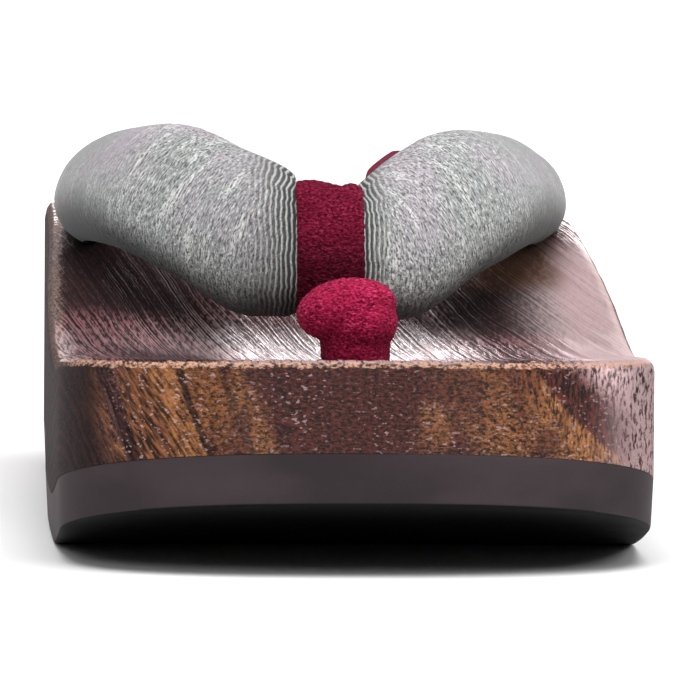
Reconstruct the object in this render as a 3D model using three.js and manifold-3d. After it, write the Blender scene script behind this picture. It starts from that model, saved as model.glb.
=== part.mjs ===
// A geta sandal for the left foot: a lacquered wooden base with a toe spring and a raised heel
// seat, two rubber soles, and a padded thong strap held by a velvet toe loop.
// Millimetres, +Z up, toe towards -Y, standing on the floor at Z = 0.
import * as THREE from "three";
import { mergeVertices } from "three/addons/utils/BufferGeometryUtils.js";
import Module from "manifold-3d";

const wasm = await Module();
wasm.setup();

// Driving dimensions
const LENGTH = 240;
const TOE_ROUND = 34;
const TOE_SQUARENESS = 2.6;
const HEEL_ROUND = 34;
const HEEL_SQUARENESS = 2.6;
const TOE_EDGE_RADIUS = 1.6;
const SIDE_EDGE_RADIUS = 4.5;
const EDGE_BLEND = { from: 16, to: 60 };
const SEAT_DISH = 1.6;
const DISH_SHAPE = 0.5;
const RUBBER_THICKNESS = 7.6;
const RUBBER_DRAFT = { foot: 1.1, top: -0.2, high: 20 };
const TOE_SPRING = 11;
const TOE_SPRING_LENGTH = 62;
const TOE_SPRING_CURVE = 1.25;
const FRONT_SOLE_END = 110;
const HEEL_SOLE_START = 164;
const ARCH_RISE = 9;
const ARCH_SHAPE = 0.8;
const CLEARANCE = 0.3;

const TOE_HOLE = { side: 0, back: 45, diameter: 10.4 };
const SIDE_HOLE = { side: 33, back: 150, diameter: 9.4 };
const KNOT_RECESS = { diameter: 13.6, depth: 7.4 };
const KNOT = { diameter: 12, height: 7, stem: 6.6 };
const ARM_END = { side: SIDE_HOLE.side, back: SIDE_HOLE.back, face: 90, tilt: 0, lift: [0, 0] };

const APEX_SHIFT = -2.9;
const LINING_SHARE = 0.24;
const COVER_FULLNESS = 0.9;
const LINING_FULLNESS = 0.6;
const EDGE_FULLNESS = 0.85;
const LINING_END = 8.25;
const LOOP_WIDTH = 10.3;
const LOOP_THICKNESS = 1.7;

// Numbers of facets, and lengths that only reach past the object
const OUTLINE_STEPS = 22;
const EDGE_TURNS = [0, 30, 60, 90];
const BED_SHARES = [0.93, 0.82, 0.68, 0.52, 0.36, 0.2, 0.07];
const UNDERSIDE_STEPS = 60;
const SOLE_STEPS = 16;
const SECTION_STEPS = 24;
const STATIONS_PER_ROW = 4;
const POST_LEVELS_PER_ROW = 3;
const ROUND_STEPS = 24;
const CORD_STEPS = 16;
const KNOT_STEPS = 8;
const PAST = 5;
const WIDE = 120;
const HIGH = 60;

// Plan of the base: half its width at distances back from the toe tip.
const PLAN = [
  { back: 0, half: 44.6 },
  { back: 75, half: 44.5 },
  { back: 110, half: 44.0 },
  { back: 150, half: 42.6 },
  { back: 195, half: 41.6 },
  { back: LENGTH, half: 41.2 },
];

// Side profile of the foot bed at its rim: its height over the floor.
const BED = [
  { back: 0, height: 32.5 },
  { back: 13, height: 31.8 },
  { back: 27, height: 31.0 },
  { back: 48, height: 30.4 },
  { back: 75, height: 32.4 },
  { back: 110, height: 38.0 },
  { back: 150, height: 43.6 },
  { back: 180, height: 45.4 },
  { back: 212, height: 45.2 },
  { back: LENGTH, height: 43.8 },
];

// One arm of the strap from the toe loop to its hole: the middle of the section, the way its
// outer face looks (degrees round from the toe, degrees up), the section's size, and the lift of
// the arm on the big toe's side and of the other arm. Each arm's end goes straight down into the
// base.
const ARM = [
  { side: 0, back: 55, height: 45.2, face: 0, tilt: 14, width: 18.4, thick: 10, lift: [0, 0] },
  { side: 6.6, back: 57.2, height: 45.3, face: 23, tilt: 15, width: 19.6, thick: 10, lift: [0.9, -0.9] },
  { side: 11.8, back: 62.8, height: 46.4, face: 42, tilt: 20, width: 22, thick: 10.5, lift: [0.9, -0.6] },
  { side: 18.8, back: 78, height: 49.6, face: 60, tilt: 30, width: 22.2, thick: 11, lift: [0.9, 0.4] },
  { side: 25.4, back: 96.5, height: 51.2, face: 66, tilt: 35, width: 22.2, thick: 11, lift: [1.8, 0.9] },
  { side: 31, back: 114, height: 51, face: 74, tilt: 35, width: 19.2, thick: 11, lift: [1.2, 0.8] },
  { side: 34.4, back: 131, height: 49.4, face: 82, tilt: 26, width: 16, thick: 10.5, lift: [0.4, 0.3] },
  { side: 34.8, back: 143.5, height: 46.8, face: 88, tilt: 10, width: 12.5, thick: 10, lift: [0, 0] },
  { ...ARM_END, height: 41.6, width: 9.4, thick: 9 },
  { ...ARM_END, height: 36, width: 8.6, thick: 8.6 },
];

// The toe loop's post from the hole in the base up to the strap.
const POST = [
  { side: TOE_HOLE.side, back: TOE_HOLE.back, height: 20, wide: 9, deep: 9 },
  { side: TOE_HOLE.side, back: TOE_HOLE.back, height: 29.1, wide: 9.4, deep: 9.4 },
  { side: 0, back: 44.6, height: 31.5, wide: 12.2, deep: 10.6 },
  { side: -0.3, back: 44.4, height: 34.1, wide: 13.4, deep: 11.4 },
  { side: -0.9, back: 45, height: 37.1, wide: 14.8, deep: 11.6 },
  { side: -1.9, back: 46.4, height: 39.9, wide: 13.4, deep: 9.6 },
  { side: -2.7, back: 48.6, height: 42.1, wide: 10.2, deep: 6 },
];

const alongY = (back) => back - LENGTH / 2;
const radians = THREE.MathUtils.degToRad;

// Smooth value of one column of a table at a place between its rows.
function column(rows, key, value, at) {
  let i = 0;
  while (i < rows.length - 2 && at > rows[i + 1][key]) {
    i += 1;
  }
  const slope = (k) => {
    const low = rows[Math.max(k - 1, 0)];
    const high = rows[Math.min(k + 1, rows.length - 1)];
    return (high[value] - low[value]) / (high[key] - low[key]);
  };
  const step = rows[i + 1][key] - rows[i][key];
  const t = (at - rows[i][key]) / step;
  const from = rows[i][value] * (2 * t ** 3 - 3 * t ** 2 + 1);
  const to = rows[i + 1][value] * (3 * t ** 2 - 2 * t ** 3);
  const leaving = slope(i) * step * (t ** 3 - 2 * t ** 2 + t);
  const arriving = slope(i + 1) * step * (t ** 3 - t ** 2);
  return from + to + leaving + arriving;
}

const bedHeight = (back) => column(BED, "back", "height", back);
const halfWidth = (back) => column(PLAN, "back", "half", back);

// A closed body through rings of points, with a fan over its first and last ring.
function loft(rings) {
  const count = rings[0].length;
  const points = rings.flat();
  const triangles = [];
  for (let r = 0; r < rings.length - 1; r += 1) {
    for (let i = 0; i < count; i += 1) {
      const a = r * count + i;
      const b = r * count + ((i + 1) % count);
      triangles.push(a, b, b + count, a, b + count, a + count);
    }
  }
  for (const [r, flip] of [[0, true], [rings.length - 1, false]]) {
    const middle = points.length;
    const centre = new THREE.Vector3();
    rings[r].forEach((p) => centre.add(p));
    points.push(centre.divideScalar(count));
    for (let i = 0; i < count; i += 1) {
      const a = r * count + i;
      const b = r * count + ((i + 1) % count);
      triangles.push(...(flip ? [b, a, middle] : [a, b, middle]));
    }
  }
  const geometry = new THREE.BufferGeometry().setFromPoints(points);
  geometry.setIndex(triangles);
  return geometry;
}

function solid(geometry) {
  const bare = geometry.clone();
  bare.deleteAttribute("normal");
  bare.deleteAttribute("uv");
  const merged = mergeVertices(bare, 1e-4);
  const vertProperties = new Float32Array(merged.attributes.position.array);
  const triVerts = new Uint32Array(merged.index.array);
  return new wasm.Manifold(new wasm.Mesh({ numProp: 3, vertProperties, triVerts }));
}

function geometryOf(manifold) {
  const { vertProperties, triVerts } = manifold.getMesh();
  const geometry = new THREE.BufferGeometry();
  geometry.setAttribute("position", new THREE.BufferAttribute(new Float32Array(vertProperties), 3));
  geometry.setIndex(new THREE.BufferAttribute(new Uint32Array(triVerts), 1));
  return geometry;
}

// The base's plan, anticlockwise from the middle of the toe: a squarish round at each end.
function outline() {
  const points = [];
  const add = (side, back) => points.push(new THREE.Vector2(side * halfWidth(back), alongY(back)));
  const toeTurn = 2 / TOE_SQUARENESS;
  const heelTurn = 2 / HEEL_SQUARENESS;
  const half = [];
  for (let i = 0; i <= OUTLINE_STEPS; i += 1) {
    const angle = (i / OUTLINE_STEPS) * (Math.PI / 2);
    half.push([Math.sin(angle) ** toeTurn, TOE_ROUND * (1 - Math.cos(angle) ** toeTurn)]);
  }
  const straight = LENGTH - TOE_ROUND - HEEL_ROUND;
  for (let i = 1; i < OUTLINE_STEPS / 2; i += 1) {
    half.push([1, TOE_ROUND + (straight * 2 * i) / OUTLINE_STEPS]);
  }
  for (let i = OUTLINE_STEPS; i >= 0; i -= 2) {
    const angle = (i / OUTLINE_STEPS) * (Math.PI / 2);
    half.push([Math.sin(angle) ** heelTurn, LENGTH - HEEL_ROUND * (1 - Math.cos(angle) ** heelTurn)]);
  }
  half.forEach(([side, back]) => add(side, back));
  half.slice(1, -1).reverse().forEach(([side, back]) => add(-side, back));
  return points;
}

const PLAN_POINTS = outline();

// The plan drawn in by a distance, measured square to its edge.
function drawnIn(distance) {
  const count = PLAN_POINTS.length;
  return PLAN_POINTS.map((p, i) => {
    const before = PLAN_POINTS[(i + count - 1) % count];
    const after = PLAN_POINTS[(i + 1) % count];
    const edge = after.clone().sub(before).normalize();
    const inset = typeof distance === "function" ? distance(p) : distance;
    return new THREE.Vector2(p.x - edge.y * inset, p.y + edge.x * inset);
  });
}

const flatRing = (points, height) => points.map((p) => new THREE.Vector3(p.x, p.y, height));

// Wall between two heights whose plan is drawn in by given amounts below and above.
function planWall(insetBelow, below, insetAbove, above) {
  return solid(loft([flatRing(drawnIn(insetBelow), below), flatRing(drawnIn(insetAbove), above)]));
}

// A slab across the whole width with a side profile of [back, height] corners.
function acrossWidth(corners, width) {
  const shape = new THREE.Shape(corners.map(([back, height]) => new THREE.Vector2(alongY(back), height)));
  const slab = new THREE.ExtrudeGeometry(shape, { depth: width, bevelEnabled: false, curveSegments: 1 });
  slab.translate(0, 0, -width / 2);
  slab.applyMatrix4(new THREE.Matrix4().makeBasis(
    new THREE.Vector3(0, 1, 0),
    new THREE.Vector3(0, 0, 1),
    new THREE.Vector3(1, 0, 0),
  ));
  return solid(slab);
}

// Height of the sole's underside: the toe spring, then flat on the floor.
function treadHeight(back) {
  return TOE_SPRING * Math.max(0, 1 - back / TOE_SPRING_LENGTH) ** TOE_SPRING_CURVE;
}

// Height of the wood's underside: over the rubber, and arched between the two soles.
function woodUnderside(back) {
  const span = (back - FRONT_SOLE_END) / (HEEL_SOLE_START - FRONT_SOLE_END);
  const arch = span > 0 && span < 1 ? ARCH_RISE * Math.sin(Math.PI * span) ** ARCH_SHAPE : 0;
  return RUBBER_THICKNESS + treadHeight(back) + arch;
}

function profileCurve(height, from, to, steps) {
  return Array.from({ length: steps + 1 }, (_, i) => {
    const back = from + ((to - from) * i) / steps;
    return [back, height(back)];
  });
}

// Height of the foot bed at a point of the plan, a little hollow across.
function bedAt(x, y) {
  const back = y + LENGTH / 2;
  const across = Math.min(1, Math.abs(x) / halfWidth(back));
  const dish = SEAT_DISH * Math.sin((Math.PI * back) / LENGTH) ** DISH_SHAPE;
  return bedHeight(back) - dish * (1 - across ** 2);
}

function upright(side, back, diameter, low, high) {
  const cylinder = new THREE.CylinderGeometry(diameter / 2, diameter / 2, high - low, ROUND_STEPS);
  cylinder.rotateX(Math.PI / 2);
  cylinder.translate(side, alongY(back), (low + high) / 2);
  return solid(cylinder);
}

// Radius of the rim: a crisp front edge that opens into rounded shoulders.
function edgeRadius(p) {
  const share = THREE.MathUtils.smoothstep(p.y + LENGTH / 2, EDGE_BLEND.from, EDGE_BLEND.to);
  return THREE.MathUtils.lerp(TOE_EDGE_RADIUS, SIDE_EDGE_RADIUS, share);
}

// The whole block of the base, from below the floor up to the foot bed.
function woodBlock() {
  const rings = [flatRing(PLAN_POINTS, -PAST)];
  for (const turn of EDGE_TURNS) {
    const away = 1 - Math.cos(radians(turn));
    const drop = 1 - Math.sin(radians(turn));
    const edge = drawnIn((p) => edgeRadius(p) * away);
    rings.push(edge.map((p, i) => {
      const radius = edgeRadius(PLAN_POINTS[i]);
      return new THREE.Vector3(p.x, p.y, bedAt(p.x, p.y) - radius * drop);
    }));
  }
  const rim = drawnIn(edgeRadius);
  for (const share of BED_SHARES) {
    rings.push(rim.map((p) => {
      const x = p.x * share;
      const y = p.y * share;
      return new THREE.Vector3(x, y, bedAt(x, y));
    }));
  }
  return solid(loft(rings));
}

const recessTop = () => woodUnderside(SIDE_HOLE.back) + KNOT_RECESS.depth;

// The base: the block with its underside shaped, the toe hole, and a stepped hole for each arm.
function woodBase(room) {
  const below = [[-PAST, -2 * PAST], [LENGTH + PAST, -2 * PAST], [LENGTH + PAST, RUBBER_THICKNESS]];
  const curve = profileCurve(woodUnderside, 0, LENGTH, UNDERSIDE_STEPS).reverse();
  const underside = [...below, ...curve, [-PAST, woodUnderside(-PAST)]];
  let base = woodBlock().subtract(acrossWidth(underside, WIDE));
  base = base.subtract(upright(TOE_HOLE.side, TOE_HOLE.back, TOE_HOLE.diameter, 0, HIGH));
  for (const hand of [-1, 1]) {
    const side = hand * SIDE_HOLE.side;
    base = base.subtract(upright(side, SIDE_HOLE.back, SIDE_HOLE.diameter, 0, HIGH));
    base = base.subtract(upright(side, SIDE_HOLE.back, KNOT_RECESS.diameter, 0, recessTop()));
  }
  return geometryOf(base.subtract(room));
}

// A rubber sole between two distances back, flush with the wood's side and drawn in below.
function sole(from, to) {
  const joint = (back) => treadHeight(back) + RUBBER_THICKNESS - CLEARANCE;
  const lower = profileCurve(treadHeight, from, to, SOLE_STEPS);
  const upper = profileCurve(joint, from, to, SOLE_STEPS);
  const slab = acrossWidth([...lower, ...upper.reverse()], WIDE);
  const wall = planWall(RUBBER_DRAFT.foot, -PAST, RUBBER_DRAFT.top, RUBBER_DRAFT.high);
  return geometryOf(slab.intersect(wall));
}

// The strap's rows over both arms, from the big toe's side through the loop at 0 to the other.
const LAST_ROW = ARM.length - 1;
const SHIFT_FADES = { from: 5, to: LAST_ROW - 1 };
const NEARBY = 0.02;
const STRAP = [];
for (let at = -LAST_ROW; at <= LAST_ROW; at += 1) {
  const row = ARM[Math.abs(at)];
  const fade = THREE.MathUtils.smoothstep(Math.abs(at), SHIFT_FADES.from, SHIFT_FADES.to);
  const shift = APEX_SHIFT * (1 - fade);
  const hand = Math.sign(at);
  const height = row.height + row.lift[hand < 0 ? 0 : 1];
  STRAP.push({ ...row, at, height, side: hand * row.side + shift, face: hand * row.face });
}

// Place of the strap at one station: its middle, outward normal, way across and size.
function strapFrame(at) {
  const value = (name, where = at) => column(STRAP, "at", name, where);
  const middle = (where) =>
    new THREE.Vector3(value("side", where), alongY(value("back", where)), value("height", where));
  const ahead = middle(Math.min(at + NEARBY, LAST_ROW));
  const behind = middle(Math.max(at - NEARBY, -LAST_ROW));
  const way = ahead.sub(behind).normalize();
  const face = radians(value("face"));
  const tilt = radians(value("tilt"));
  const normal = new THREE.Vector3(
    Math.sin(face) * Math.cos(tilt),
    -Math.cos(face) * Math.cos(tilt),
    Math.sin(tilt),
  );
  normal.addScaledVector(way, -normal.dot(way)).normalize();
  const across = new THREE.Vector3().crossVectors(normal, way);
  return { middle: middle(at), normal, across, width: value("width"), thick: value("thick") };
}

const placed = (frame, p, q) =>
  frame.middle.clone().addScaledVector(frame.across, p).addScaledVector(frame.normal, q);

const rounded = (wave, power) => Math.sign(wave) * Math.abs(wave) ** power;

// Sections of the strap. The whole section is a padded oval, flatter on the foot's side. The
// cover is the part outside the seam, and the lining the part behind it.
const seamLevel = (frame) => (LINING_SHARE - 0.5) * frame.thick;

function halfOval(frame, from, depth, fullness, level, grow) {
  const steps = SECTION_STEPS / 2;
  return Array.from({ length: steps + 1 }, (_, i) => {
    const angle = from + (i / steps) * Math.PI;
    const p = (frame.width / 2 + grow) * rounded(Math.cos(angle), EDGE_FULLNESS);
    return placed(frame, p, level + (depth + grow) * rounded(Math.sin(angle), fullness));
  });
}

const outerHalf = (frame, grow) =>
  halfOval(frame, 0, (1 - LINING_SHARE) * frame.thick, COVER_FULLNESS, seamLevel(frame), grow);

function wholeSection(frame, grow) {
  const depth = LINING_SHARE * frame.thick;
  const inner = halfOval(frame, Math.PI, depth, LINING_FULLNESS, seamLevel(frame), grow);
  return [...outerHalf(frame, grow), ...inner.slice(1, -1)];
}

// Points along the seam's flat, between the two edges of a section.
function flat(frame, level, way) {
  return [-0.5, 0, 0.5].map((share) => placed(frame, (way * share * frame.width) / 2, level));
}

const coverSection = (frame) => [...outerHalf(frame, 0), ...flat(frame, seamLevel(frame), 1)];

function liningSection(frame) {
  const level = seamLevel(frame) - CLEARANCE;
  const depth = LINING_SHARE * frame.thick - CLEARANCE;
  const inner = halfOval(frame, Math.PI, depth, LINING_FULLNESS, level, 0);
  return [...inner, ...flat(frame, level, -1)];
}

// A body along the strap between two stations, from one of its sections.
function alongStrap(from, to, section) {
  const steps = Math.round((to - from) * STATIONS_PER_ROW);
  const rings = Array.from({ length: steps + 1 }, (_, i) => {
    return section(strapFrame(from + ((to - from) * i) / steps));
  });
  return loft(rings);
}

// The strap grown on every side, over a number of rows each way from the loop.
const grownStrap = (rows, grow) =>
  solid(alongStrap(-rows, rows, (frame) => wholeSection(frame, grow)));

// The part of the toe loop that rises from the toe hole and swells below the strap.
function thongPost() {
  const rows = POST.map((row, at) => ({ ...row, at }));
  const count = POST_LEVELS_PER_ROW * (POST.length - 1) + 1;
  const rings = Array.from({ length: count }, (_, level) => {
    const value = (name) => column(rows, "at", name, level / POST_LEVELS_PER_ROW);
    return Array.from({ length: CORD_STEPS }, (_, i) => {
      const angle = (i / CORD_STEPS) * 2 * Math.PI;
      const x = value("side") + (value("wide") / 2) * Math.cos(angle);
      const y = alongY(value("back")) + (value("deep") / 2) * Math.sin(angle);
      return new THREE.Vector3(x, y, value("height"));
    });
  });
  return solid(loft(rings));
}

// The toe loop: a padded band round the middle of the strap, on its post.
function toeThong() {
  const slice = new THREE.BoxGeometry(LOOP_WIDTH, HIGH, HIGH);
  slice.translate(APEX_SHIFT, alongY(ARM[0].back), ARM[0].height);
  const band = grownStrap(1, CLEARANCE + LOOP_THICKNESS).intersect(solid(slice));
  return geometryOf(band.add(thongPost()).subtract(grownStrap(3, CLEARANCE)));
}

// The cord that carries an arm down through the base to a knot in the underside.
function strapKnot(hand) {
  const top = ARM[LAST_ROW].height - CLEARANCE;
  const low = recessTop() - CLEARANCE - KNOT.height;
  const profile = [new THREE.Vector2(0, low)];
  for (let i = 1; i < KNOT_STEPS; i += 1) {
    const angle = (i / KNOT_STEPS) * Math.PI;
    const stem = angle > Math.PI / 2 ? KNOT.stem / 2 : 0;
    const radius = Math.max((KNOT.diameter / 2) * Math.sin(angle), stem);
    profile.push(new THREE.Vector2(radius, low + (KNOT.height / 2) * (1 - Math.cos(angle))));
  }
  profile.push(new THREE.Vector2(KNOT.stem / 2, top), new THREE.Vector2(0, top));
  const cord = new THREE.LatheGeometry(profile, CORD_STEPS);
  cord.rotateX(Math.PI / 2);
  cord.translate(hand * SIDE_HOLE.side, alongY(SIDE_HOLE.back), 0);
  return geometryOf(solid(cord));
}

// Finishes
const lacqueredWood = new THREE.MeshStandardMaterial({ color: 0x4a2a26, roughness: 0.25, metalness: 0 });
const soleRubber = new THREE.MeshStandardMaterial({ color: 0x3a3638, roughness: 0.85, metalness: 0 });
const greyCrepe = new THREE.MeshStandardMaterial({ color: 0x8f9694, roughness: 0.8, metalness: 0 });
const crimsonVelvet = new THREE.MeshStandardMaterial({ color: 0x7a1438, roughness: 0.95, metalness: 0 });
const cottonCord = new THREE.MeshStandardMaterial({ color: 0x2b2828, roughness: 0.9, metalness: 0 });

const sandal = new THREE.Group();

function place(name, geometry, material) {
  const mesh = new THREE.Mesh(geometry, material);
  mesh.name = name;
  sandal.add(mesh);
}

place("wood_base", woodBase(grownStrap(LAST_ROW, CLEARANCE)), lacqueredWood);
place("front_sole", sole(0, FRONT_SOLE_END), soleRubber);
place("heel_sole", sole(HEEL_SOLE_START, LENGTH), soleRubber);
place("strap_cover", alongStrap(-LAST_ROW, LAST_ROW, coverSection), greyCrepe);
place("strap_lining", alongStrap(-LINING_END, LINING_END, liningSection), crimsonVelvet);
place("toe_thong", toeThong(), crimsonVelvet);
place("inner_strap_knot", strapKnot(-1), cottonCord);
place("outer_strap_knot", strapKnot(1), cottonCord);

export default sandal;
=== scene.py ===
"""A geta sandal for the left foot: its finish, its soft pieces, a studio and a camera."""

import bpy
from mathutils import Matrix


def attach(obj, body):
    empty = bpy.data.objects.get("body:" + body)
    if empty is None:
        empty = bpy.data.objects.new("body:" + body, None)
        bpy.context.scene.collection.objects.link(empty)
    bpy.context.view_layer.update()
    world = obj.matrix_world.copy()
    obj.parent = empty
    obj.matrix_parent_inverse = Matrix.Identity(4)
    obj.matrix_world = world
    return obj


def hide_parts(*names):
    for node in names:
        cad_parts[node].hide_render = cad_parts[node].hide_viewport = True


bl_info = {
    "name": "Geta sandal",
    "version": (1, 0, 0),
    "blender": (4, 5, 0),
    "location": "3D View > Sidebar > Geta",
    "description": "Makes a lacquered wooden sandal with a padded thong strap",
    "category": "Add Mesh",
}

import math
from collections import namedtuple
from functools import lru_cache, partial

import bmesh
import bpy
from bpy.props import FloatProperty, FloatVectorProperty, IntProperty, PointerProperty
from bpy.types import Operator, Panel, PropertyGroup
from mathutils import Matrix, Vector, noise

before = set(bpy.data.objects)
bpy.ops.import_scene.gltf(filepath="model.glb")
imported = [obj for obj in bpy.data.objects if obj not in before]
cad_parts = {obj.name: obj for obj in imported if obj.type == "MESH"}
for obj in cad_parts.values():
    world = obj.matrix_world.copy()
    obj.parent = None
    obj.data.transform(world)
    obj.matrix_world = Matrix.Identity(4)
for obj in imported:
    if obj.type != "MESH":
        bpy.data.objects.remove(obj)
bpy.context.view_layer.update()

MM = 0.001
BODY = "root"

# Plan of the base: half its width at distances back from the toe tip, in millimetres.
PlanRow = namedtuple("PlanRow", "back half")
PLAN = [
    PlanRow(0, 44.6),
    PlanRow(75, 44.5),
    PlanRow(110, 44.0),
    PlanRow(150, 42.6),
    PlanRow(195, 41.6),
    PlanRow(240, 41.2),
]

# Side profile of the foot bed at its rim, in millimetres.
BedRow = namedtuple("BedRow", "back height")
BED = [
    BedRow(0, 32.5),
    BedRow(13, 31.8),
    BedRow(27, 31.0),
    BedRow(48, 30.4),
    BedRow(75, 32.4),
    BedRow(110, 38.0),
    BedRow(150, 43.6),
    BedRow(180, 45.4),
    BedRow(212, 45.2),
    BedRow(240, 43.8),
]

# One arm of the strap from the toe loop to its hole: the middle of the section and its size in
# millimetres, the way its outer face looks in degrees, round from the toe and upwards, and how
# much higher the arm on the big toe's side (inner) and the other arm (outer) lie.
ArmRow = namedtuple("ArmRow", "side back height face tilt width thick inner outer")
ARM = [
    ArmRow(0, 55, 45.2, 0, 14, 18.4, 10, 0, 0),
    ArmRow(6.6, 57.2, 45.3, 23, 15, 19.6, 10, 0.9, -0.9),
    ArmRow(11.8, 62.8, 46.4, 42, 20, 22, 10.5, 0.9, -0.6),
    ArmRow(18.8, 78, 49.6, 60, 30, 22.2, 11, 0.9, 0.4),
    ArmRow(25.4, 96.5, 51.2, 66, 35, 22.2, 11, 1.8, 0.9),
    ArmRow(31, 114, 51, 74, 35, 19.2, 11, 1.2, 0.8),
    ArmRow(34.4, 131, 49.4, 82, 26, 16, 10.5, 0.4, 0.3),
    ArmRow(34.8, 143.5, 46.8, 88, 10, 12.5, 10, 0, 0),
    ArmRow(33, 150, 41.6, 90, 0, 9.4, 9, 0, 0),
    ArmRow(33, 150, 36, 90, 0, 8.6, 8.6, 0, 0),
]
LAST_ROW = len(ARM) - 1
LINING_END = 8.25
SHIFT_FADES = (5, LAST_ROW - 1)

# Wall of a rubber sole from its top to its tread: drawn in from the plan, in millimetres, and the
# height taken as a share of the thickness.
SoleRow = namedtuple("SoleRow", "inset share")
SOLE_WALL = [
    SoleRow(0.08, 1.0),
    SoleRow(0.04, 0.985),
    SoleRow(0.05, 0.93),
    SoleRow(0.2, 0.5),
    SoleRow(0.35, 0.1),
    SoleRow(0.45, 0.035),
    SoleRow(0.75, 0.008),
    SoleRow(1.3, 0.0),
]


def metres(name, description, value):
    """A length that the user may change."""
    return FloatProperty(name=name, description=description, default=value, unit="LENGTH")


def degrees(name, description, value):
    """An angle that the user may change."""
    turn = math.radians(value)
    return FloatProperty(name=name, description=description, default=turn, subtype="ANGLE")


def watts(name, description, value):
    """A lamp's power that the user may change."""
    return FloatProperty(name=name, description=description, default=value, unit="POWER")


def colour(name, description, value):
    """A colour that the user may change."""
    return FloatVectorProperty(
        name=name, description=description, default=value, subtype="COLOR", size=3, min=0, max=1
    )


class GetaSizes(PropertyGroup):
    """Sizes of the sandal."""

    length: metres("Length", "Toe tip to heel", 0.24)
    toe_round: metres("Toe round", "Length of the toe's rounding in plan", 0.034)
    heel_round: metres("Heel round", "Length of the heel's rounding in plan", 0.034)
    squareness: FloatProperty(
        name="Squareness", description="How square both ends are in plan", default=2.6
    )
    toe_edge: metres("Toe edge", "Radius of the front rim", 0.0016)
    side_edge: metres("Side edge", "Radius of the shoulders", 0.0045)
    seat_dish: metres("Seat dish", "Hollow across the foot bed", 0.0016)
    rubber: metres("Rubber", "Thickness of the soles", 0.0076)
    toe_spring: metres("Toe spring", "Rise of the tread at the toe", 0.011)
    toe_spring_length: metres("Toe spring length", "Where the tread meets the floor", 0.062)
    front_sole_end: metres("Front sole end", "Rear end of the front sole", 0.11)
    heel_sole_start: metres("Heel sole start", "Front end of the heel sole", 0.164)
    arch_rise: metres("Arch rise", "Rise of the waist between the soles", 0.009)
    toe_hole_back: metres("Toe hole", "Place of the thong's hole behind the toe tip", 0.045)
    toe_hole_radius: metres("Toe hole radius", "Half the width of the thong's hole", 0.0052)
    arm_hole_back: metres("Arm hole", "Place of the strap's holes behind the toe tip", 0.15)
    arm_hole_side: metres("Arm hole side", "Place of the strap's holes across the base", 0.033)
    arm_hole_radius: metres("Arm hole radius", "Half the width of the strap's holes", 0.0051)
    recess_radius: metres("Recess radius", "Half the width of the knots' recesses", 0.0068)
    recess_depth: metres("Recess depth", "Depth of the knots' recesses", 0.0074)
    grain_height: metres("Grain height", "Relief of the raised grain", 0.00014)
    grain_pitch: metres("Grain pitch", "Distance between raised lines", 0.00042)
    strap_shift: metres("Strap shift", "Place of the strap's middle across the base", -0.0029)
    rib_pitch: metres("Rib pitch", "Distance between the crepe's ribs", 0.00077)
    rib_height: metres("Rib height", "Relief of the ribs next to the loop", 0.0004)
    loop_width: metres("Loop width", "Width of the velvet loop", 0.0103)
    loop_sink: metres("Loop sink", "How deep the loop sits in the strap", 0.001)
    loop_thickness: metres("Loop thickness", "Thickness of the velvet loop", 0.0018)


class GetaFinish(PropertyGroup):
    """Colours of the sandal, in linear light."""

    wood_dark: colour("Dark wood", "Troughs of the lacquered grain", (0.011, 0.003, 0.004))
    wood_red: colour("Red wood", "Ridges of the lacquered grain", (0.22, 0.085, 0.092))
    wood_gold: colour("Golden wood", "Paler streaks", (0.185, 0.074, 0.026))
    end_brown: colour("End brown", "Scorched end grain", (0.046, 0.01, 0.0072))
    # Painted reflection and painted glints on the end grain and the front's outer corner.
    end_reflection_pink: colour("End pink", "Rubbed corners", (0.55, 0.375, 0.385))
    # Painted reflection on the outer shoulder.
    shoulder_reflection: colour("Shoulder", "Rubbed outer shoulder", (0.6, 0.47, 0.475))
    # Painted reflection on the ridges beside the thong.
    bed_reflection: colour("Worn bed", "Rubbed foot bed beside the thong", (0.38, 0.26, 0.265))
    # Pale front rim: partly wear, partly a painted highlight.
    rim_wear_highlight: colour("End rim", "Rubbed rim of the front", (0.52, 0.3, 0.21))
    rubber: colour("Rubber", "Soles", (0.04, 0.03, 0.0335))
    crepe: colour("Crepe", "Body of the grey cloth", (0.285, 0.302, 0.295))
    # Slub flecks, and painted highlights on the ridges and tips.
    crepe_flecks_and_highlights: colour("Crepe light", "Ridges and flecks", (0.7, 0.71, 0.69))
    # Painted shade in the grooves between the ribs and in the crinkles' dips.
    crepe_groove_shade: colour("Crepe dark", "Grooves between the ribs", (0.03, 0.034, 0.033))
    # Painted tint of the warm light from behind, along the crown.
    crepe_lit_tint: colour("Crepe tint", "Purple cast along the crown", (0.36, 0.315, 0.355))
    velvet: colour("Velvet", "Crimson pile", (0.26, 0.008, 0.04))
    velvet_light: colour("Velvet light", "Bright ends of the pile", (0.58, 0.05, 0.15))
    velvet_dark: colour("Velvet dark", "Roots of the pile", (0.075, 0.0015, 0.012))
    # Lining's pile, lighter with a painted sheen.
    lining: colour("Lining", "Lining's rubbed pile", (0.34, 0.07, 0.1))
    cord: colour("Cord", "Cotton tails", (0.024, 0.021, 0.021))


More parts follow.
